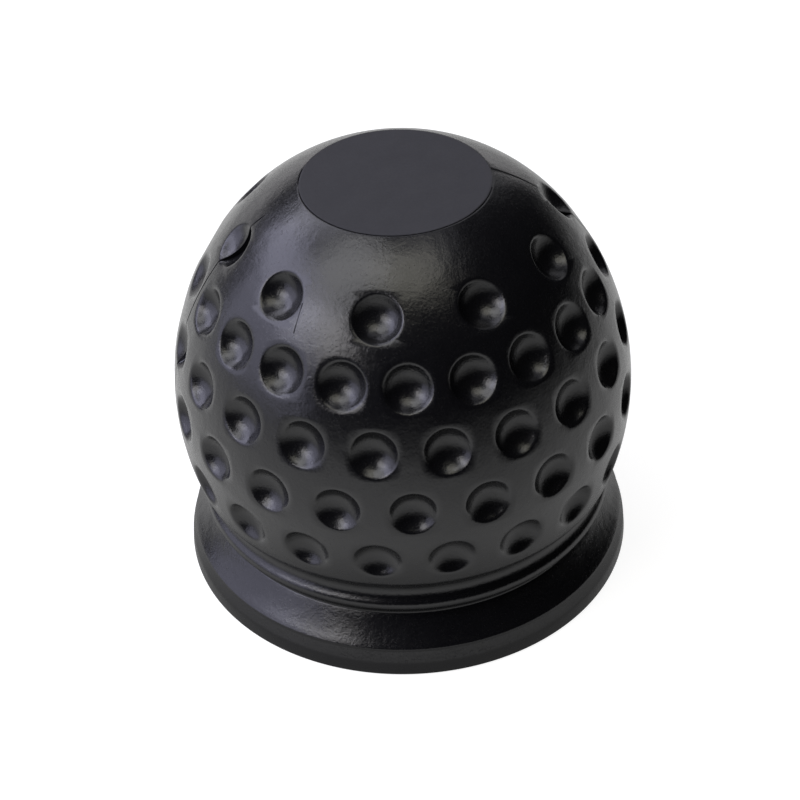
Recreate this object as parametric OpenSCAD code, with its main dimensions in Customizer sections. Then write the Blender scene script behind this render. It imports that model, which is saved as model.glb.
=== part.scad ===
// Rubber cover for a 50 mm tow ball: a dimpled ball on a flared collar, moulded in one piece.
// The base plane is z = 0 and the axis is Z. The mould's two side halves part on the plane y = 0,
// with the front half on the -Y side, and a third mould piece forms the flat top.

/* [Ball] */
// Diameter of the ball at its widest level
ball_d = 70; // [67:0.5:76]
// Height of the widest level above the base
belt_h = 29.6; // [28:0.2:32]
// Radius of the side curve, from the collar up to the shoulder
side_curve_r = 42.8; // [40:0.2:46]
// Radius of the shoulder curve, from the side curve to the flat top
shoulder_curve_r = 32.4; // [30:0.2:35]
// Slope of the skin where the two curves meet, in degrees from level
shoulder_slope = 54; // [53:0.5:55]
// Diameter of the flat top
top_flat_d = 28; // [22:0.5:30]

/* [Dimples] */
// Diameter across the rim of a dimple that the front mould half forms
front_dimple_d = 7.1; // [5:0.1:7.4]
// Depth of a dimple that the front mould half forms
front_dimple_depth = 1.9; // [0.8:0.1:2.2]
// Diameter across the rim of a dimple that the back mould half forms
back_dimple_d = 7.0; // [5:0.1:7.4]
// Depth of a dimple that the back mould half forms
back_dimple_depth = 1.2; // [0.8:0.1:2.2]
// Distance between two rings of dimples, along the skin
ring_pitch = 9.6; // [8.8:0.1:9.8]
// Distance of the lowest ring below the widest level, along the skin
low_ring_drop = 7; // [6:0.1:8]
// Number of rings, of which the top one is sparse
ring_n = 5; // [3:1:5]
// Dimples in each ring below the top one
full_ring_n = 20; // [12:2:20]
// Dimples in the top ring
top_ring_n = 10; // [6:2:10]
// Angle by which the pattern misses the parting plane
pattern_turn = 0.7; // [0:0.1:1.5]

/* [Collar] */
// Height of the ball's lower edge above the base
ball_edge_h = 16.1; // [15:0.1:17.5]
// Depth of the neck groove, in from the ball's lower edge
neck_depth = 1.8; // [1:0.1:2.5]
// Height of the neck groove's upper slope
neck_slope_h = 1.3; // [0.8:0.1:1.8]
// Height of the bead's centre above the base
bead_h = 11.3; // [11:0.1:12]
// Radius of the bead's section
bead_r = 1.2; // [0.8:0.1:1.5]
// Distance that the bead stands out from the neck
bead_proud = 1.1; // [0.5:0.1:1.2]
// Height of the skirt's top edge, in the notch under the bead
skirt_top_h = 10.15; // [9.6:0.05:10.3]
// Height of the skirt's waist, where its flare starts
waist_h = 7.3; // [6.8:0.1:8.4]
// Distance that the skirt's waist stands out from the neck
waist_proud = 0.5; // [0.2:0.1:0.8]
// Distance that the skirt's foot stands out from its waist
skirt_spread = 2.6; // [1.8:0.1:2.9]
// Height of the skirt's foot above the base
skirt_foot_h = 2.8; // [2.6:0.1:3.4]
// Depth of the crease between the skirt's foot and the lip
crease_depth = 0.4; // [0.2:0.1:0.8]
// Diameter of the lip
lip_d = 70; // [69:0.5:74]
// Height of the lip
lip_h = 2.4; // [2.3:0.1:2.5]
// Radius of the lip's rounded edges
lip_edge_r = 1.1; // [0.3:0.1:1.1]

/* [Socket] */
// Diameter of the tow ball that the cover is pushed over
tow_ball_d = 50; // [50:1:50]
// Play of the tow ball in the socket, across the diameter
socket_play = 0.4; // [0:0.1:1]
// Diameter of the throat, which grips under the tow ball
throat_d = 44; // [42:0.5:46]
// Length of the throat's straight wall
throat_l = 5; // [3:0.5:7]
// Diameter of the mouth at the base
mouth_d = 56; // [50:0.5:60]

/* [Hidden] */
$fn = 128;

ball_r = ball_d / 2;
over = 1;

// Centres of the two curves of the ball's section, as [distance from the axis, height]
side_c = [ball_r - side_curve_r, belt_h];
shoulder_c = side_c + (side_curve_r - shoulder_curve_r) * [sin(shoulder_slope), cos(shoulder_slope)];
top_h = shoulder_c[1] + sqrt(pow(shoulder_curve_r, 2) - pow(top_flat_d / 2 - shoulder_c[0], 2));

// Distance from the axis to the side curve at a height
function side_r(h) = side_c[0] + sqrt(pow(side_curve_r, 2) - pow(h - belt_h, 2));

// Slope of the skin, in degrees from level, at a distance along it above the widest level
side_len = side_curve_r * (90 - shoulder_slope) * PI / 180;
function skin_slope(s) = s < side_len
    ? 90 - s / side_curve_r * 180 / PI
    : shoulder_slope - (s - side_len) / shoulder_curve_r * 180 / PI;

// Point of the skin with a given slope, as [distance from the axis, height]
function skin_point(slope) = slope > shoulder_slope
    ? side_c + side_curve_r * [sin(slope), cos(slope)]
    : shoulder_c + shoulder_curve_r * [sin(slope), cos(slope)];

ball_edge_r = side_r(ball_edge_h);
neck_r = ball_edge_r - neck_depth;
waist_r = neck_r + waist_proud;
lip_r = lip_d / 2;
skirt_foot_r = waist_r + skirt_spread;
flare_r = (pow(skirt_spread, 2) + pow(waist_h - skirt_foot_h, 2)) / (2 * skirt_spread);
crease_r = skirt_foot_r - crease_depth;

socket_r = (tow_ball_d + socket_play) / 2;
throat_r = throat_d / 2;
throat_top_h = belt_h - sqrt(pow(socket_r, 2) - pow(throat_r, 2));
throat_foot_h = throat_top_h - throat_l;

// Section of the ball, from the flat top down to the slope that leads into the neck groove.
// The two curves are drawn turned, so that they meet on the local Y axis.
module ball_section() {
    far = 2 * side_curve_r;
    slope_foot = [neck_r, ball_edge_h - neck_slope_h];
    slope_end = slope_foot + 3 * [neck_depth, neck_slope_h];
    intersection() {
        translate(side_c) rotate(-shoulder_slope) {
            intersection() {
                circle(r = side_curve_r);
                translate([0, -far]) square([far, 2 * far]);
            }
            intersection() {
                translate([0, side_curve_r - shoulder_curve_r]) circle(r = shoulder_curve_r);
                translate([-far, -far]) square([far, 2 * far]);
            }
        }
        polygon([
            [0, slope_foot[1]], slope_foot, slope_end, [far, slope_end[1]], [far, top_h], [0, top_h]
        ]);
    }
}

// Section of the neck and the bead on it
module neck_section() {
    translate([0, waist_h]) square([neck_r, ball_edge_h - waist_h]);
    translate([neck_r + bead_proud - bead_r, bead_h]) circle(r = bead_r);
}

// Section of the skirt, which flares down to the lip
module skirt_section() {
    difference() {
        square([skirt_foot_r, skirt_top_h]);
        translate([waist_r + flare_r, waist_h]) circle(r = flare_r);
        translate([waist_r, waist_h]) square([lip_r, skirt_top_h]);
        translate([crease_r, -over]) square([lip_r, skirt_foot_h + over]);
    }
}

// Section of the lip, with rounded outer edges
module lip_section() {
    inner_r = lip_r - lip_edge_r;
    square([inner_r, lip_h]);
    translate([0, lip_edge_r]) square([lip_r, lip_h - 2 * lip_edge_r]);
    for (h = [lip_edge_r, lip_h - lip_edge_r])
        translate([inner_r, h]) circle(r = lip_edge_r);
}

// Outer form of the cover, without its dimples
module outer_form() {
    rotate_extrude() {
        ball_section();
        neck_section();
        skirt_section();
        lip_section();
    }
}

// Space for the tow ball, with the throat and the funnel that guides the ball in
module socket_space() {
    translate([0, 0, belt_h]) sphere(r = socket_r);
    translate([0, 0, throat_foot_h]) cylinder(r = throat_r, h = belt_h - throat_foot_h);
    rotate_extrude()
        polygon([
            [0, -over], [mouth_d / 2, -over], [mouth_d / 2, 0],
            [throat_r, throat_foot_h], [0, throat_foot_h]
        ]);
}

// One cup of a mould side, with its axis on Z and the skin at z = 0: -1 is the front and 1 the back
module cup(side) {
    rim_r = (side < 0 ? front_dimple_d : back_dimple_d) / 2;
    depth = side < 0 ? front_dimple_depth : back_dimple_depth;
    rim_sag = side_curve_r - sqrt(pow(side_curve_r, 2) - pow(rim_r, 2));
    cup_r = (pow(rim_r, 2) + pow(depth, 2)) / (2 * depth);
    translate([0, 0, cup_r - depth - rim_sag]) sphere(r = cup_r);
}

// A cup placed on the skin at a slope and an angle round the axis
module placed_cup(slope, turn, side) {
    at = skin_point(slope);
    rotate([0, 0, turn]) translate([at[0], 0, at[1]]) rotate([0, slope, 0]) cup(side);
}

// The space on one side of the parting plane
module side_space(side) {
    translate([-ball_d, side < 0 ? -ball_d : 0, 0]) cube([2 * ball_d, ball_d, 2 * ball_d]);
}

// All the dimples. A cup that the parting plane crosses is made of two unlike halves.
module dimples() {
    widest = max(front_dimple_d, back_dimple_d);
    for (ring = [0 : ring_n - 1]) {
        slope = skin_slope(ring * ring_pitch - low_ring_drop);
        cups = ring == ring_n - 1 ? top_ring_n : full_ring_n;
        first_turn = pattern_turn + (ring % 2 == 0 ? 0 : 180 / full_ring_n);
        for (k = [0 : cups - 1]) {
            turn = first_turn + k * 360 / cups;
            off_plane = skin_point(slope)[0] * sin(turn);
            if (abs(off_plane) > widest / 2)
                placed_cup(slope, turn, sign(off_plane));
            else
                for (side = [-1, 1])
                    intersection() {
                        placed_cup(slope, turn, side);
                        side_space(side);
                    }
        }
    }
}

module cover() {
    color([0.11, 0.11, 0.12])
        difference() {
            outer_form();
            socket_space();
            dimples();
        }
}

cover();
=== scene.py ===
"""Rubber cover for a tow ball: a dimpled ball on a flared collar, moulded in one piece."""
import math

import bmesh
import bpy
from mathutils import Matrix, Vector


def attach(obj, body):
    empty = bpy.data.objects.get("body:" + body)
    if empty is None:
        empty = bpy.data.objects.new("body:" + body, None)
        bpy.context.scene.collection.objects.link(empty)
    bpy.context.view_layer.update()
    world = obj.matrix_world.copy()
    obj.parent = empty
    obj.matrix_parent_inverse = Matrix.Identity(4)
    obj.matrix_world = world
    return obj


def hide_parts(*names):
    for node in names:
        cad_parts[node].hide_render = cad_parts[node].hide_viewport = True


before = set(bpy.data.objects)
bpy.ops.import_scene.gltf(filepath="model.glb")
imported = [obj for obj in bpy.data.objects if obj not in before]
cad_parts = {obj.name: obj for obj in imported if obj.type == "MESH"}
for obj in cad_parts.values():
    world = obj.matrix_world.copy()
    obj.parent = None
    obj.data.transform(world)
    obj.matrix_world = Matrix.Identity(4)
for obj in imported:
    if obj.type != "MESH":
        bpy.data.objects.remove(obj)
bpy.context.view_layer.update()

MM = 0.001

# The ball's section, in millimetres, with z = 0 at the base plane
BALL_R = 35.0
BELT_H = 29.6
SIDE_R = 42.8
SHOULDER_R = 32.4
SHOULDER_SLOPE = math.radians(54)
TOP_R = 14.0
BALL_EDGE_R = 32.815
BALL_EDGE_H = 16.1

# The flat top: radii of its mesh rings, and further mesh rings as distances down the skin from its edge
TOP_RINGS = (2.0, 5.0, 8.0, 11.0, 13.0, 13.6, 13.88)
TOP_EDGE_DROPS = (0.07, 0.3, 0.8)
TOP_ROWS = 9

# The groove round the front of the flat top, the angle by which it is turned clockwise as seen from above,
# its deeper stretches as (angle, half width, added depth), with angles in degrees, and the depth from
# which it has the painted shade material
TOP_GROOVE_R = 13.97
TOP_GROOVE_DIP = 0.004
TOP_GROOVE_DEPTH = 0.14
TOP_GROOVE_TURN = 10
TOP_GAPS = ((162, 6, 0.3), (318, 6, 0.3))
TOP_SHADED_FROM = 0.06

# The dimples: rings along the skin, and for each mould half a cup as (rim radius, depth)
RING_PITCH = 9.6
LOW_RING = -7.0
RING_N = 5
FULL_RING_N = 20
TOP_RING_N = 10
PATTERN_TURN = math.radians(0.7)
FRONT_CUP = (3.55, 1.9)
BACK_CUP = (3.5, 1.2)
RIM_SOFTNESS = 0.36

# The collar down to the notch under the bead, with points as (distance from the axis, height)
EDGE_DROPS = (0.3, 0.6, 0.8)
EDGE_SOFTNESS = 3.3
NECK_R = 31.015
NECK_SLOPE_H = 1.3
NECK_HOLLOW_R = 2.063
BEAD_AT = (30.915, 11.3)
BEAD_R = 1.2
BEAD_END = -58

# The skirt and the lip: the flare runs from the skirt's top to its foot, and its upper edge is rounded
NOTCH_FOOT = (30.59, 8.8)
SKIRT_TOP = (30.75, 8.7)
SKIRT_EDGE = (30.77, 8.65)
SKIRT_EDGE_SOFTNESS = 0.15
SKIRT_SAG = 0.12
SKIRT_FOOT = (34.2, 4.5)
FOOT_SOFTNESS = 0.35
CREASE = (34.12, 4.05)
CREASE_SOFTNESS = 0.2
LIP_SHOULDER = (34.8, 2.3)
LIP_SHOULDER_SOFTNESS = 3.0
LIP_R = 35.0
LIP_SOFTNESS = 0.3

# The parting line: half its width, its depth, and how much deeper it gets next to the flat top on the
# right, with the places along the skin where it starts on the left and where it gets deeper, and the depth
# from which it has the painted shade material
GROOVE_HALF = 0.13
GROOVE_DEPTH = 0.36
GROOVE_EXTRA = 0.14
LINE_START = 37.2
LINE_FADE = 0.6
EXTRA_START = 38.5
EXTRA_FADE = 1.5
LINE_SHADED_FROM = 0.05

# Half the width of the painted shade along the parting line: on the left, on the right at the flat top,
# and on the right from a distance off the axis onwards
SHADE_LEFT = 0.19
SHADE_AT_TOP = 0.62
SHADE_RIGHT = 0.36
SHADE_EVEN_X = 19

# Two marks of use on the front of the ball, each from one point to another, and half their widths
HAIRLINE = ((-16.5, -17.1, 58.35), (-18.26, -19.24, 55.17))
HAIRLINE_HALF = 0.14
SCRATCH = ((-17.29, -23.8, 50.73), (-16.82, -24.02, 50.9))
SCRATCH_HALF = 0.09

# The inside, with the angle in degrees by which the socket's round starts above the throat
SOCKET_R = 25.2
THROAT_R = 22.0
THROAT_MIDDLE_H = 15.5
THROAT_FOOT_H = 12.31
THROAT_EASE = (0.02, 0.3)
THROAT_SOFTNESS = 1.0
MOUTH_R = 28.0
MOUTH_SOFTNESS = 0.6
BASE_RING_R = 31.5
SOCKET_START = 0.8

# The mesh: columns round the axis, rows in each band of dimples, the radius of the mesh rings in a cell at
# shares of the way from its middle to its border, and the share from which they give way to the grid
COLUMNS = 400
BAND_ROWS = 22
RING_SHAPE = ((0, 0), (0.5, 2.72), (0.6, 3.12), (0.7, 3.42), (0.8, 3.68), (0.9, 4.0), (1.0, 4.35))
RINGS_END = 0.82

# The cut along the parting plane: how far from it faces are cut, how near a vertex takes the place of a
# new one, how far from a dimple's middle its edges are doubled, and how near a vertex counts as on it
CUT_REACH = 2.5
CUT_SNAP = 0.012
SPLIT_REACH = 3.95
ON_PLANE = 1e-4

# What counts as the ball's outside: the least wall up to the socket, and for the cut and for the dimples
# the least distances from the flat top and from the ball's lower edge
LEAST_WALL = 2.0
CUT_GAPS = (0.05, 0)
SKIN_GAPS = (0.5, 0.5)

# What counts as the groove round the flat top, and as the flat top inside it: how far off in radius and
# how far down
RING_GAPS = (0.01, 0.1)
FLAT_GAPS = (0.06, 0.02)

# Places of the flat top's material, with its painted sheen, and the grooves' painted shade material on the
# mesh, after the satin rubber
FLAT = 1
SHADE = 2

# The camera: its distance from the middle of the ball in millimetres, its height and its swing round the
# cover, three small turns of its own, all in degrees, and its lens in pixels of the photo
CAMERA_DISTANCE = 317.13
CAMERA_HEIGHT = 38.2
CAMERA_SWING = -9.52
CAMERA_TURNS = (("X", -0.669), ("Y", 0.105), ("Z", -2.214))
LENS_PIXELS = 2056.3
PHOTO_PIXELS = 800
SENSOR_WIDTH = 36

# Distance of the lamps from the middle of the ball, in metres
LAMP_DISTANCE = 0.5

# The floor: half its size in metres, how far it lies under the base, and the middle of its painted pool of
# light in reflections
FLOOR_HALF = 3.0
FLOOR_GAP = 0.0002
POOL_AT = (-0.03, 0.12, 0)

SIDE_C = (BALL_R - SIDE_R, BELT_H)
SHOULDER_C = (
    SIDE_C[0] + (SIDE_R - SHOULDER_R) * math.sin(SHOULDER_SLOPE),
    SIDE_C[1] + (SIDE_R - SHOULDER_R) * math.cos(SHOULDER_SLOPE),
)
SIDE_LEN = SIDE_R * (math.pi / 2 - SHOULDER_SLOPE)
TOP_H = SHOULDER_C[1] + math.sqrt(SHOULDER_R ** 2 - (TOP_R - SHOULDER_C[0]) ** 2)
BANDS_TOP = LOW_RING + (RING_N - 0.5) * RING_PITCH
BANDS_FOOT = LOW_RING - RING_PITCH / 2


def clamp(value):
    """A value held between 0 and 1."""
    return min(max(value, 0), 1)


def skin_slope(s):
    """Slope from level at a distance s along the skin above the widest level."""
    if s < SIDE_LEN:
        return math.pi / 2 - s / SIDE_R
    return SHOULDER_SLOPE - (s - SIDE_LEN) / SHOULDER_R


def skin_point(slope):
    """Distance from the axis and height of the skin where it has a slope."""
    centre, radius = (SIDE_C, SIDE_R) if slope > SHOULDER_SLOPE else (SHOULDER_C, SHOULDER_R)
    return centre[0] + radius * math.sin(slope), centre[1] + radius * math.cos(slope)


def skin_distance(r, z):
    """Distance along the skin above the widest level of a point on it."""
    slope = math.atan2(r - SIDE_C[0], z - SIDE_C[1])
    if slope > SHOULDER_SLOPE:
        return (math.pi / 2 - slope) * SIDE_R
    slope = math.atan2(r - SHOULDER_C[0], z - SHOULDER_C[1])
    return SIDE_LEN + (SHOULDER_SLOPE - slope) * SHOULDER_R


def skin_place(point):
    """Distance along the skin and angle round the axis of a point on it."""
    return skin_distance(math.hypot(point.x, point.y), point.z), math.atan2(point.y, point.x)


def arc(centre, radius, start, end, steps):
    """Points on an arc, with angles in degrees from the outward direction."""
    angles = [math.radians(start + (end - start) * i / steps) for i in range(steps + 1)]
    return [(centre[0] + radius * math.cos(a), centre[1] + radius * math.sin(a)) for a in angles]


def rounded(before, corner, after, radius, steps):
    """Points of a fillet that rounds a corner between two neighbouring points."""
    corner = Vector(corner)
    a = (Vector(before) - corner).normalized()
    b = (Vector(after) - corner).normalized()
    half = a.angle(b) / 2
    reach = radius / math.tan(half)
    centre = corner + (a + b).normalized() * radius / math.sin(half)
    first = corner + a * reach - centre
    last = corner + b * reach - centre
    turn = first.angle_signed(last)
    return [tuple(centre + Matrix.Rotation(-turn * i / steps, 2) @ first) for i in range(steps + 1)]


def hollowed(start, end, sag, steps):
    """Points on a stretch that is hollowed by a sag towards the axis, without its ends."""
    along = Vector(end) - Vector(start)
    inward = Vector((along.y, -along.x)).normalized() * sag
    shares = [i / steps for i in range(1, steps)]
    return [tuple(Vector(start) + along * t + inward * 4 * t * (1 - t)) for t in shares]


def top_profile():
    """The flat top, a thin groove round it, and the bare skin down to the first band."""
    edge = skin_distance(TOP_R, TOP_H)
    points = [(r, TOP_H) for r in (0,) + TOP_RINGS]
    points += [(TOP_GROOVE_R, TOP_H - TOP_GROOVE_DIP)]
    points += [skin_point(skin_slope(edge - drop)) for drop in TOP_EDGE_DROPS]
    start = edge - TOP_EDGE_DROPS[-1]
    step = (BANDS_TOP - start) / TOP_ROWS
    return points + [skin_point(skin_slope(start + step * i)) for i in range(1, TOP_ROWS)]


def band_profile():
    """The bands of dimples, row by row, from the top one to the lowest."""
    row = RING_PITCH / BAND_ROWS
    return [skin_point(skin_slope(BANDS_TOP - row * i)) for i in range(RING_N * BAND_ROWS + 1)]


def neck_profile(slope_angle):
    """The wide soft hollow of the neck and the bead under it, down to the notch."""
    away = NECK_R + NECK_HOLLOW_R - BEAD_AT[0]
    rise = math.sqrt((BEAD_R + NECK_HOLLOW_R) ** 2 - away ** 2)
    turn = math.degrees(math.atan2(rise, away))
    centre = (NECK_R + NECK_HOLLOW_R, BEAD_AT[1] + rise)
    hollow = arc(centre, NECK_HOLLOW_R, slope_angle, 180 + turn, 9)
    return hollow + arc(BEAD_AT, BEAD_R, turn, BEAD_END, 10)[1:]


def skirt_profile():
    """From the notch under the bead down the flare to the shallow crease above the lip."""
    points = [NOTCH_FOOT]
    points += rounded(NOTCH_FOOT, SKIRT_EDGE, SKIRT_FOOT, SKIRT_EDGE_SOFTNESS, 3)
    points += hollowed(points[-1], SKIRT_FOOT, SKIRT_SAG, 6)
    points += rounded(SKIRT_TOP, SKIRT_FOOT, CREASE, FOOT_SOFTNESS, 6)
    return points + rounded(SKIRT_FOOT, CREASE, LIP_SHOULDER, CREASE_SOFTNESS, 3)


def collar_profile():
    """From under the lowest band down the neck, the bead, the skirt and the lip to the base."""
    points = [skin_point(skin_slope(BANDS_FOOT - drop)) for drop in EDGE_DROPS]
    ball_edge = (BALL_EDGE_R, BALL_EDGE_H)
    slope_foot = (NECK_R, BALL_EDGE_H - NECK_SLOPE_H)
    slope_angle = 90 + math.degrees(math.atan2(NECK_SLOPE_H, BALL_EDGE_R - NECK_R))
    points += rounded(points[-1], ball_edge, slope_foot, EDGE_SOFTNESS, 8)
    points += neck_profile(slope_angle) + skirt_profile()
    lip_foot = (LIP_R, 0)
    points += rounded(CREASE, LIP_SHOULDER, lip_foot, LIP_SHOULDER_SOFTNESS, 7)
    return points + rounded(LIP_SHOULDER, lip_foot, (MOUTH_R, 0), LIP_SOFTNESS, 7)


def inside_profile():
    """From the base through the funnel and the throat up into the socket."""
    throat_top = BELT_H - math.sqrt(SOCKET_R ** 2 - THROAT_R ** 2)
    mouth, throat_foot = (MOUTH_R, 0), (THROAT_R, THROAT_FOOT_H)
    points = [(BASE_RING_R, 0)]
    points += rounded((LIP_R, 0), mouth, throat_foot, MOUTH_SOFTNESS, 3)
    points += hollowed(points[-1], throat_foot, 0, 3)
    points += rounded(mouth, throat_foot, (THROAT_R, throat_top), THROAT_SOFTNESS, 3)
    points += [(THROAT_R, THROAT_MIDDLE_H), (THROAT_R + THROAT_EASE[0], throat_top - THROAT_EASE[1])]
    start = -math.degrees(math.asin((BELT_H - throat_top) / SOCKET_R))
    return points + arc((0, BELT_H), SOCKET_R, start + SOCKET_START, 90, 10)[:-1] + [(0, BELT_H + SOCKET_R)]


def spin_body():
    """Spin the whole section round the axis into one closed body."""
    bm = bmesh.new()
    points = top_profile() + band_profile() + collar_profile() + inside_profile()
    verts = [bm.verts.new((r, 0, z)) for r, z in points]
    edges = [bm.edges.new(pair) for pair in zip(verts, verts[1:])]
    bmesh.ops.rotate(bm, verts=verts, cent=(0, 0, 0), matrix=Matrix.Rotation(PATTERN_TURN, 3, "Z"))
    bmesh.ops.spin(
        bm, geom=verts + edges, cent=(0, 0, 0), axis=(0, 0, 1), angle=2 * math.pi,
        steps=COLUMNS, use_merge=True,
    )
    bmesh.ops.remove_doubles(bm, verts=bm.verts[:], dist=1e-5)
    bmesh.ops.recalc_face_normals(bm, faces=bm.faces[:])
    return bm


def outside(point, top_gap, edge_gap):
    """Whether a point is on the ball's outside, past a gap from its flat top and its lower edge."""
    wall = (point - Vector((0, 0, BELT_H))).length - SOCKET_R
    off_axis = math.hypot(point.x, point.y)
    return off_axis > TOP_R + top_gap and point.z > BALL_EDGE_H + edge_gap and wall > LEAST_WALL


def on_skin(v):
    """Whether a vertex is on the skin that holds the dimples and the parting line."""
    return outside(v.co, *SKIN_GAPS)


def dimples_in(ring):
    """Number of dimples in a ring, with the rings counted from the lowest."""
    return TOP_RING_N if ring == RING_N - 1 else FULL_RING_N


class Cell:
    """The stretch of skin that holds one dimple."""

    def __init__(self, ring, k):
        half_step = 0 if ring % 2 == 0 else math.pi / FULL_RING_N
        self.half = math.pi / dimples_in(ring)
        self.turn = PATTERN_TURN + half_step + k * 2 * self.half
        self.s = LOW_RING + ring * RING_PITCH
        slope = skin_slope(self.s)
        r, z = skin_point(slope)
        out = Vector((math.cos(self.turn), math.sin(self.turn), 0))
        self.at = out * r + Vector((0, 0, z))
        self.normal = out * math.sin(slope) + Vector((0, 0, math.cos(slope)))
        self.is_parted = abs(self.at.y) < FRONT_CUP[0]


CELLS = [[Cell(ring, k) for k in range(dimples_in(ring))] for ring in range(RING_N)]


def nearest_cell(s, turn):
    """The cell that a place on the skin belongs to, or None off the bands."""
    ring = math.floor((s - LOW_RING) / RING_PITCH + 0.5)
    if ring < 0 or ring >= RING_N:
        return None
    row = CELLS[ring]
    step = 2 * math.pi / len(row)
    return row[round((turn - row[0].turn) / step) % len(row)]


def ring_radius(m):
    """Radius of the mesh ring at a share of the way from a cell's middle to its border."""
    for (a, ra), (b, rb) in zip(RING_SHAPE, RING_SHAPE[1:]):
        if m <= b:
            return ra + (rb - ra) * (m - a) / (b - a)
    return RING_SHAPE[-1][1]


def square_to_circle(u, w):
    """Direction on a circle that stands for a place on a square."""
    if abs(u) >= abs(w):
        angle = math.pi / 4 * w / abs(u)
        x, y = math.cos(angle), math.sin(angle)
    else:
        angle = math.pi / 4 * (2 - abs(u) / abs(w))
        x, y = math.cos(angle), math.copysign(math.sin(angle), w)
    return math.copysign(x, u), y


def round_off_cells(bm):
    """Bend the square grid of each cell into rings, so that mesh lines follow the dimple's rim."""
    for v in bm.verts:
        if not on_skin(v):
            continue
        s, turn = skin_place(v.co)
        cell = nearest_cell(s, turn)
        if cell is None:
            continue
        off = (turn - cell.turn + math.pi) % (2 * math.pi) - math.pi
        u = off / cell.half
        w = (s - cell.s) / (RING_PITCH / 2)
        m = max(abs(u), abs(w))
        if m < 1e-6 or m > 1 - 1e-6:
            continue
        x, y = square_to_circle(u, w)
        radius = ring_radius(m)
        mix = clamp((m - RINGS_END) / (1 - RINGS_END))
        mix = mix * mix * (3 - 2 * mix)
        new_s = cell.s + (1 - mix) * radius * y + mix * (s - cell.s)
        new_r, new_z = skin_point(skin_slope(new_s))
        new_turn = cell.turn + (1 - mix) * radius * x / new_r + mix * off
        v.co = (new_r * math.cos(new_turn), new_r * math.sin(new_turn), new_z)


def part_the_halves(bm):
    """Cut the ball's outside along the parting plane, with a narrow strip on each side of the cut."""
    near = []
    for f in bm.faces:
        middle = f.calc_center_median()
        if abs(middle.y) < CUT_REACH and outside(middle, *CUT_GAPS):
            near.append(f)
    edges = dict.fromkeys(e for f in near for e in f.edges)
    verts = dict.fromkeys(v for f in near for v in f.verts)
    geom = near + list(edges) + list(verts)
    for level in (-GROOVE_HALF, 0.0, GROOVE_HALF):
        geom = bmesh.ops.bisect_plane(
            bm, geom=geom, dist=CUT_SNAP, plane_co=(0, level, 0), plane_no=(0, 1, 0)
        )["geom"]


def split_dimples(bm):
    """Double the cut's edges in the dimples that it crosses, so that each half gets its own cup."""
    doubled = []
    for e in bm.edges:
        if not all(abs(v.co.y) <= ON_PLANE and on_skin(v) for v in e.verts):
            continue
        middle = (e.verts[0].co + e.verts[1].co) / 2
        cell = nearest_cell(*skin_place(middle))
        if cell and cell.is_parted and (middle - cell.at).length < SPLIT_REACH:
            doubled.append(e)
    bmesh.ops.split_edges(bm, edges=doubled)


def cup_drop(level, away, size):
    """How far the skin drops into a cup, from its level above the cup's middle plane."""
    rim_r, depth = size
    rim_sag = SIDE_R - math.sqrt(SIDE_R ** 2 - rim_r ** 2)
    cup_r = (rim_r ** 2 + depth ** 2) / (2 * depth)
    if away > cup_r:
        return 0
    cup_level = cup_r - depth - rim_sag - math.sqrt(cup_r ** 2 - away ** 2)
    gap = level - cup_level
    if gap <= -RIM_SOFTNESS:
        return 0
    if gap >= RIM_SOFTNESS:
        return gap
    return (gap + RIM_SOFTNESS) ** 2 / (4 * RIM_SOFTNESS)


def cup_size(v, cell):
    """The cup that a vertex of a cell is pressed to: a parted cell has a cup on each side."""
    if not cell.is_parted:
        side = cell.at.y
    elif abs(v.co.y) > ON_PLANE:
        side = v.co.y
    else:
        side = sum(f.calc_center_median().y for f in v.link_faces)
    return BACK_CUP if side > 0 else FRONT_CUP


def press_dimples(bm):
    """Press each dimple's cup into the skin: deep in the front half, shallow in the back half."""
    for v in bm.verts:
        if not on_skin(v):
            continue
        cell = nearest_cell(*skin_place(v.co))
        if cell is None:
            continue
        rel = v.co - cell.at
        level = rel.dot(cell.normal)
        away = (rel - cell.normal * level).length
        v.co -= cell.normal * cup_drop(level, away, cup_size(v, cell))


def close_steps(bm):
    """Close the crescent-shaped step where the two halves of a dimple have unlike depths."""
    border = [e for e in bm.edges if len(e.link_faces) == 1]
    for f in bmesh.ops.holes_fill(bm, edges=border, sides=0)["faces"]:
        f.smooth = False
        for e in f.edges:
            e.smooth = False


def groove_depth(point):
    """Depth of the parting groove: it fades out on the left and is deepest at the flat top's right."""
    s = skin_place(point)[0]
    if point.x < 0:
        return GROOVE_DEPTH * clamp((LINE_START - s) / LINE_FADE)
    return GROOVE_DEPTH + GROOVE_EXTRA * clamp((s - EXTRA_START) / EXTRA_FADE)


def sink_parting_line(bm):
    """Sink the middle of the cut, as the thin groove between the mould halves, dark with painted shade."""
    sunk = []
    for v in bm.verts:
        if abs(v.co.y) < ON_PLANE and on_skin(v) and not v.is_boundary:
            sunk.append((v, v.normal * groove_depth(v.co)))
    middle = {v for v, shift in sunk if shift.length > LINE_SHADED_FROM}
    for v, shift in sunk:
        v.co -= shift
    # The painted shade material on the faces round the sunk middle
    for v in middle:
        for f in v.link_faces:
            f.material_index = SHADE
            for e in f.edges:
                if not any(end in middle for end in e.verts):
                    e.smooth = False


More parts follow.
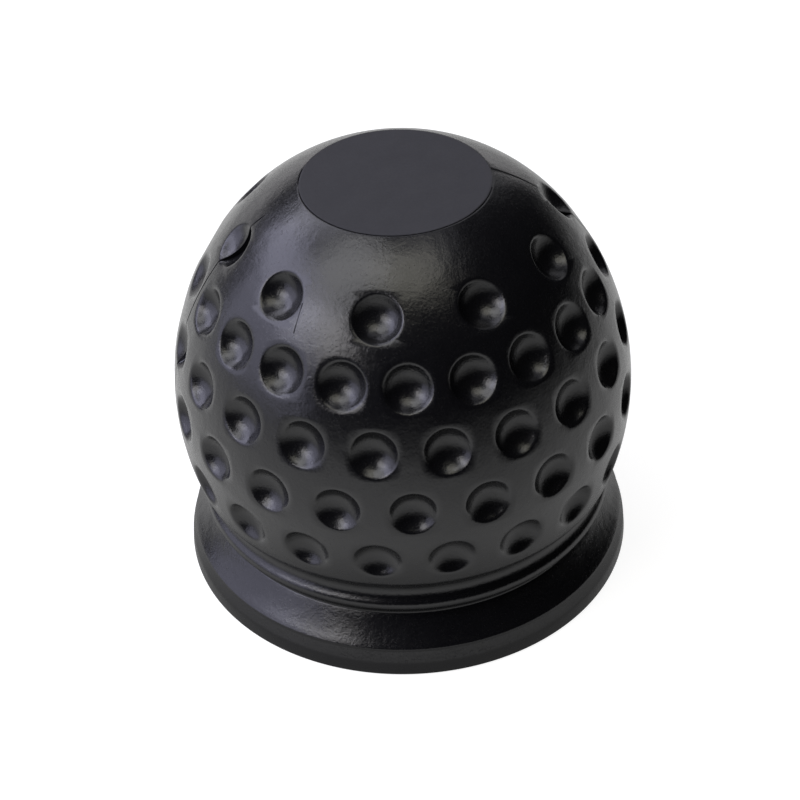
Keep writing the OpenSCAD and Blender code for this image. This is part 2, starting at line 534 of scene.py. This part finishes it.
def sink_top_edge(bm):
    """Sink the thin groove round the front of the flat top, deeper in two short stretches, with painted
    shade where it is deep.
    """
    ring = set()
    for v in bm.verts:
        off_ring = math.hypot(v.co.x, v.co.y) - TOP_GROOVE_R
        if abs(off_ring) <= RING_GAPS[0] and v.co.z >= TOP_H - RING_GAPS[1]:
            ring.add(v)
    for v in ring:
        angle = math.degrees(math.atan2(v.co.y, v.co.x)) % 360
        front = -math.sin(math.radians(angle + TOP_GROOVE_TURN))
        depth = TOP_GROOVE_DEPTH * max(0, front) ** 0.5
        for at, width, extra in TOP_GAPS:
            depth += extra * math.exp(-(((angle - at) / width) ** 2))
        v.co.z -= depth
        for e in v.link_edges:
            if e.other_vert(v) in ring:
                e.smooth = False
        # The painted shade material where the groove is deep
        if depth > TOP_SHADED_FROM:
            for f in v.link_faces:
                f.material_index = SHADE


def mark_flat_top(bm):
    """Give the flat top its own material, up to the rim inside its groove."""
    rim_gap, drop = FLAT_GAPS
    for f in bm.faces:
        middle = f.calc_center_median()
        off_axis = math.hypot(middle.x, middle.y)
        if middle.z > TOP_H - drop and off_axis < TOP_GROOVE_R - rim_gap:
            f.material_index = FLAT


def feed(tree, socket, value):
    """Link a socket to another node's output, or set it to a value."""
    if isinstance(value, bpy.types.NodeSocket):
        tree.links.new(value, socket)
    else:
        socket.default_value = value


def math_node(tree, operation, a, b=0.0, clamped=False):
    """Result of a Math node."""
    node = tree.nodes.new("ShaderNodeMath")
    node.operation = operation
    node.use_clamp = clamped
    feed(tree, node.inputs[0], a)
    feed(tree, node.inputs[1], b)
    return node.outputs["Value"]


def vector_node(tree, operation, *values):
    """A Vector Math node with its inputs fed."""
    node = tree.nodes.new("ShaderNodeVectorMath")
    node.operation = operation
    for socket, value in zip(node.inputs, values):
        feed(tree, socket, value)
    return node


def ramp(tree, value, start, end, low, high, smooth=True):
    """A value that goes from low to high while another one goes from start to end."""
    node = tree.nodes.new("ShaderNodeMapRange")
    node.interpolation_type = "SMOOTHSTEP" if smooth else "LINEAR"
    node.inputs["From Min"].default_value = start
    node.inputs["From Max"].default_value = end
    node.inputs["To Min"].default_value = low
    node.inputs["To Max"].default_value = high
    tree.links.new(value, node.inputs["Value"])
    return node.outputs["Result"]


def mix_colours(tree, share, a, b):
    """Colour a where the share is 0, and colour b where it is 1."""
    node = tree.nodes.new("ShaderNodeMix")
    node.data_type = "RGBA"
    feed(tree, node.inputs["Factor"], share)
    feed(tree, node.inputs["A"], a)
    feed(tree, node.inputs["B"], b)
    return node.outputs["Result"]


def object_coords(tree):
    """Coordinates on the object itself."""
    return tree.nodes.new("ShaderNodeTexCoord").outputs["Object"]


def noise(tree, scale, detail, roughness=0.5):
    """Noise on the object's own coordinates."""
    node = tree.nodes.new("ShaderNodeTexNoise")
    node.inputs["Scale"].default_value = scale
    node.inputs["Detail"].default_value = detail
    node.inputs["Roughness"].default_value = roughness
    tree.links.new(object_coords(tree), node.inputs["Vector"])
    return node.outputs["Fac"]


def bumped(tree, height, strength, distance):
    """A Bump node that raises the surface by a height."""
    node = tree.nodes.new("ShaderNodeBump")
    node.inputs["Strength"].default_value = strength
    node.inputs["Distance"].default_value = distance
    tree.links.new(height, node.inputs["Height"])
    return node


def mark_mask(tree, start, end, half_width):
    """1 on a thin straight mark between two points on the skin, in millimetres, and 0 off it."""
    start, end = Vector(start) * MM, Vector(end) * MM
    along = end - start
    rel = vector_node(tree, "SUBTRACT", object_coords(tree), start).outputs["Vector"]
    dot = vector_node(tree, "DOT_PRODUCT", rel, along).outputs["Value"]
    share = math_node(tree, "DIVIDE", dot, along.length_squared, clamped=True)
    nearest = vector_node(tree, "SCALE", along)
    feed(tree, nearest.inputs["Scale"], share)
    away = vector_node(tree, "DISTANCE", rel, nearest.outputs["Vector"]).outputs["Value"]
    return ramp(tree, away, 0.3 * half_width * MM, half_width * MM, 1, 0)


def painted_seam_shade(tree):
    """1 in the painted shade of the parting groove, widest at the flat top's right, and 0 off it."""
    apart = tree.nodes.new("ShaderNodeSeparateXYZ")
    tree.links.new(object_coords(tree), apart.inputs[0])
    x, y, z = apart.outputs
    start_r = skin_point(skin_slope(LINE_START))[0]
    on_left = math_node(tree, "LESS_THAN", x, -start_r * MM)
    on_right = math_node(tree, "GREATER_THAN", x, TOP_R * MM)
    narrowing = ramp(
        tree, x, TOP_R * MM, SHADE_EVEN_X * MM, SHADE_AT_TOP * MM, SHADE_RIGHT * MM, smooth=False
    )
    left_half = math_node(tree, "MULTIPLY", on_left, SHADE_LEFT * MM)
    right_half = math_node(tree, "MULTIPLY", on_right, narrowing)
    off_plane = math_node(tree, "ABSOLUTE", y)
    share = math_node(tree, "DIVIDE", off_plane, math_node(tree, "ADD", left_half, right_half))
    on_side = math_node(tree, "ADD", on_left, on_right)
    shade = math_node(tree, "MULTIPLY", on_side, ramp(tree, share, 0.6, 1, 1, 0))
    return math_node(tree, "MULTIPLY", shade, math_node(tree, "GREATER_THAN", z, BALL_EDGE_H * MM))


def add_marks_and_painted_shade(tree):
    """The painted shade of the parting groove, a dark hairline and a short light scratch."""
    shader = tree.nodes["Principled BSDF"]
    hairline = mark_mask(tree, *HAIRLINE, HAIRLINE_HALF)
    scratch = mark_mask(tree, *SCRATCH, SCRATCH_HALF)
    shade = math_node(tree, "MAXIMUM", hairline, painted_seam_shade(tree))
    # Weaker reflection on the hairline, and painted shade along the parting groove where its reflection is
    # cut
    dull_hairline_and_painted_shade = ramp(tree, shade, 0, 1, 0.5, 0.03, smooth=False)
    tree.links.new(dull_hairline_and_painted_shade, shader.inputs["Specular IOR Level"])
    bare = shader.inputs["Base Color"].links[0].from_socket
    tone = mix_colours(tree, scratch, bare, (0.06, 0.06, 0.065, 1))
    tree.links.new(tone, shader.inputs["Base Color"])


def rubber_material(name, dark, light, rough_low, rough_high, grain_strength):
    """Black moulded rubber with a leathery grain: two near tones and a slightly uneven gloss."""
    mat = bpy.data.materials.new(name)
    mat.use_nodes = True
    tree = mat.node_tree
    shader = tree.nodes["Principled BSDF"]
    grain = noise(tree, 2600, 4, 0.6)
    swell = noise(tree, 260, 3)
    fine = bumped(tree, grain, grain_strength, 0.00006)
    wide = bumped(tree, swell, 0.35, 0.0003)
    tree.links.new(fine.outputs["Normal"], wide.inputs["Normal"])
    tree.links.new(wide.outputs["Normal"], shader.inputs["Normal"])
    tone = mix_colours(tree, swell, (*dark, 1), (*light, 1))
    tree.links.new(tone, shader.inputs["Base Color"])
    gloss = ramp(tree, grain, 0.3, 0.7, rough_low, rough_high, smooth=False)
    tree.links.new(gloss, shader.inputs["Roughness"])
    shader.inputs["IOR"].default_value = 1.5
    return mat


def satin_rubber():
    """The rubber of the ball and the collar, with the marks on it."""
    mat = rubber_material(
        "satin_rubber", (0.003, 0.003, 0.004), (0.0055, 0.0055, 0.0065), 0.18, 0.29, 0.55
    )
    add_marks_and_painted_shade(mat.node_tree)
    return mat


def flat_top_painted_sheen():
    """The duller rubber of the flat top, with a greyer colour that is a painted sheen of the lights above
    it.
    """
    # The grey tones are a painted sheen of the lights above, so the reflection below is kept weak
    mat = rubber_material(
        "flat_top_painted_sheen", (0.032, 0.032, 0.036), (0.038, 0.038, 0.042), 0.7, 0.8, 0.2
    )
    mat.node_tree.nodes["Principled BSDF"].inputs["Specular IOR Level"].default_value = 0.15
    return mat


def painted_groove_shade():
    """Painted shade for the dark bottom of the thin grooves, which hardly any light reaches."""
    mat = bpy.data.materials.new("painted_groove_shade")
    mat.use_nodes = True
    shader = mat.node_tree.nodes["Principled BSDF"]
    shader.inputs["Base Color"].default_value = (0.003, 0.003, 0.004, 1)
    shader.inputs["Roughness"].default_value = 0.9
    shader.inputs["Specular IOR Level"].default_value = 0.15
    return mat


def shape_cover():
    """The cover's closed body, in millimetres, with the materials' places on its faces."""
    bm = spin_body()
    round_off_cells(bm)
    part_the_halves(bm)
    split_dimples(bm)
    press_dimples(bm)
    bmesh.ops.recalc_face_normals(bm, faces=bm.faces[:])
    bm.normal_update()
    for f in bm.faces:
        f.smooth = True
    sink_parting_line(bm)
    sink_top_edge(bm)
    close_steps(bm)
    mark_flat_top(bm)
    bmesh.ops.recalc_face_normals(bm, faces=bm.faces[:])
    return bm


def make_cover():
    """The whole moulded cover as one closed mesh."""
    bm = shape_cover()
    bmesh.ops.scale(bm, vec=(MM, MM, MM), verts=bm.verts[:])
    mesh = bpy.data.meshes.new("moulded_cover")
    bm.to_mesh(mesh)
    bm.free()
    piece = bpy.data.objects.new("moulded_cover", mesh)
    bpy.context.scene.collection.objects.link(piece)
    for mat in (satin_rubber(), flat_top_painted_sheen(), painted_groove_shade()):
        mesh.materials.append(mat)
    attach(piece, "root")
    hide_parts("cover")


def outward(turn, height):
    """Direction from the middle of the ball at a turn round the axis and a height, both in degrees."""
    turn, height = math.radians(turn), math.radians(height)
    return Vector((
        math.cos(height) * math.cos(turn), math.cos(height) * math.sin(turn), math.sin(height)
    ))


def add_camera():
    """The camera that took the photo: a long lens, looking down at the cover from the front."""
    data = bpy.data.cameras.new("camera")
    data.sensor_width = SENSOR_WIDTH
    data.lens = LENS_PIXELS / PHOTO_PIXELS * SENSOR_WIDTH
    data.clip_start = 0.01
    camera = bpy.data.objects.new("camera", data)
    bpy.context.scene.collection.objects.link(camera)
    aim = Vector((0, 0, BELT_H)) * MM
    camera.location = aim + outward(CAMERA_SWING - 90, CAMERA_HEIGHT) * CAMERA_DISTANCE * MM
    facing = (aim - camera.location).to_track_quat("-Z", "Y").to_matrix()
    for axis, turn in CAMERA_TURNS:
        facing = facing @ Matrix.Rotation(math.radians(turn), 3, axis)
    camera.rotation_euler = facing.to_euler()
    bpy.context.scene.camera = camera


def add_softbox(name, turn, height, width, tall, brightness, colour):
    """One rectangular soft light on a dome round the cover: turn and height in degrees."""
    data = bpy.data.lights.new(name, "AREA")
    data.shape = "RECTANGLE"
    data.size = width
    data.size_y = tall
    data.energy = brightness * math.pi * width * tall
    data.color = colour
    lamp = bpy.data.objects.new(name, data)
    out = outward(turn, height)
    lamp.location = Vector((0, 0, BELT_H)) * MM + out * LAMP_DISTANCE
    lamp.rotation_euler = (-out).to_track_quat("-Z", "Y").to_euler()
    bpy.context.scene.collection.objects.link(lamp)


def add_lamps():
    """The windows on the left, the light from above and the pale backdrop behind the cover."""
    add_softbox("window_high", 165, 38, 0.56, 0.19, 4.2, (0.78, 0.78, 1.0))
    add_softbox("window_middle", 209, 38, 0.26, 0.18, 4.3, (0.95, 0.94, 1.0))
    add_softbox("window_front", 221, 34, 0.12, 0.16, 1.6, (1.0, 0.94, 0.86))
    add_softbox("window_low", 180, 15, 0.6, 0.26, 1.9, (0.78, 0.78, 1.0))
    add_softbox("overhead_left", 190, 66, 0.26, 0.28, 3.4, (0.97, 0.97, 1.0))
    add_softbox("overhead_back", 115, 50, 0.3, 0.27, 2.6, (0.88, 0.88, 1.0))
    add_softbox("overhead_front", 275, 73, 0.26, 0.22, 2.2, (1.0, 0.97, 0.84))
    add_softbox("overhead_right", 0, 78, 0.3, 0.2, 0.6, (0.9, 0.9, 1.0))
    add_softbox("backdrop_low", 95, 8, 0.9, 0.13, 1.0, (1.0, 0.98, 1.0))
    add_softbox("backdrop_high", 70, 38, 0.4, 0.34, 0.5, (0.95, 0.95, 1.0))


def painted_pool_strength(tree):
    """Brightness of the floor in reflections, a painted pool of light: painted shade close to the cover and
    on the right, and darker far off.
    """
    place = object_coords(tree)
    apart = tree.nodes.new("ShaderNodeSeparateXYZ")
    tree.links.new(place, apart.inputs[0])
    from_axis = vector_node(tree, "LENGTH", place).outputs["Value"]
    from_pool = vector_node(tree, "DISTANCE", place, POOL_AT).outputs["Value"]
    # Painted shade close to the cover and on the right, in a painted pool of light that fades far off
    painted_shade_close_by = ramp(tree, from_axis, 0.036, 0.056, 0.4, 1.0)
    far_off = ramp(tree, from_pool, 0.22, 0.42, 1.0, 0.4)
    painted_shade_on_right = ramp(tree, apart.outputs["X"], -0.05, 0.05, 1.0, 0.8)
    both = math_node(tree, "MULTIPLY", painted_shade_close_by, far_off)
    return math_node(tree, "MULTIPLY", both, painted_shade_on_right)


def floor_material():
    """A matt floor that shows white to the camera and as a painted pool of light in reflections."""
    mat = bpy.data.materials.new("white_floor")
    mat.use_nodes = True
    tree = mat.node_tree
    nodes, links = tree.nodes, tree.links
    nodes.remove(nodes["Principled BSDF"])
    matt = nodes.new("ShaderNodeBsdfDiffuse")
    matt.inputs["Color"].default_value = (0.3, 0.3, 0.3, 1)
    bright = nodes.new("ShaderNodeEmission")
    bright.inputs["Strength"].default_value = 0.9
    shown = nodes.new("ShaderNodeAddShader")
    links.new(matt.outputs["BSDF"], shown.inputs[0])
    links.new(bright.outputs["Emission"], shown.inputs[1])
    pool = nodes.new("ShaderNodeEmission")
    links.new(painted_pool_strength(tree), pool.inputs["Strength"])
    path = nodes.new("ShaderNodeLightPath")
    below = matt
    for ray, shader in (
        ("Is Glossy Ray", pool), ("Is Transmission Ray", shown), ("Is Camera Ray", shown)
    ):
        mix = nodes.new("ShaderNodeMixShader")
        links.new(path.outputs[ray], mix.inputs["Fac"])
        links.new(below.outputs[0], mix.inputs[1])
        links.new(shader.outputs[0], mix.inputs[2])
        below = mix
    links.new(below.outputs["Shader"], nodes["Material Output"].inputs["Surface"])
    return mat


def add_floor():
    """The floor that the cover stands on and that keeps its shadow."""
    bm = bmesh.new()
    bmesh.ops.create_grid(bm, x_segments=1, y_segments=1, size=FLOOR_HALF)
    mesh = bpy.data.meshes.new("floor")
    bm.to_mesh(mesh)
    bm.free()
    floor = bpy.data.objects.new("floor", mesh)
    floor.location = (0, 0, -FLOOR_GAP)
    bpy.context.scene.collection.objects.link(floor)
    mesh.materials.append(floor_material())


def set_world():
    """White behind everything that the camera sees, and a dark room for the reflections."""
    world = bpy.data.worlds.new("studio")
    bpy.context.scene.world = world
    world.use_nodes = True
    tree = world.node_tree
    nodes, links = tree.nodes, tree.links
    room = nodes["Background"]
    room.inputs["Color"].default_value = (0.5, 0.5, 0.55, 1)
    room.inputs["Strength"].default_value = 0.03
    white = nodes.new("ShaderNodeBackground")
    white.inputs["Color"].default_value = (1, 1, 1, 1)
    white.inputs["Strength"].default_value = 1
    path = nodes.new("ShaderNodeLightPath").outputs
    seen = math_node(tree, "MAXIMUM", path["Is Camera Ray"], path["Is Transmission Ray"])
    mix = nodes.new("ShaderNodeMixShader")
    links.new(seen, mix.inputs["Fac"])
    links.new(room.outputs["Background"], mix.inputs[1])
    links.new(white.outputs["Background"], mix.inputs[2])
    links.new(mix.outputs["Shader"], nodes["World Output"].inputs["Surface"])


make_cover()
add_camera()
add_floor()
set_world()
add_lamps()
bpy.context.scene.view_settings.view_transform = "Standard"
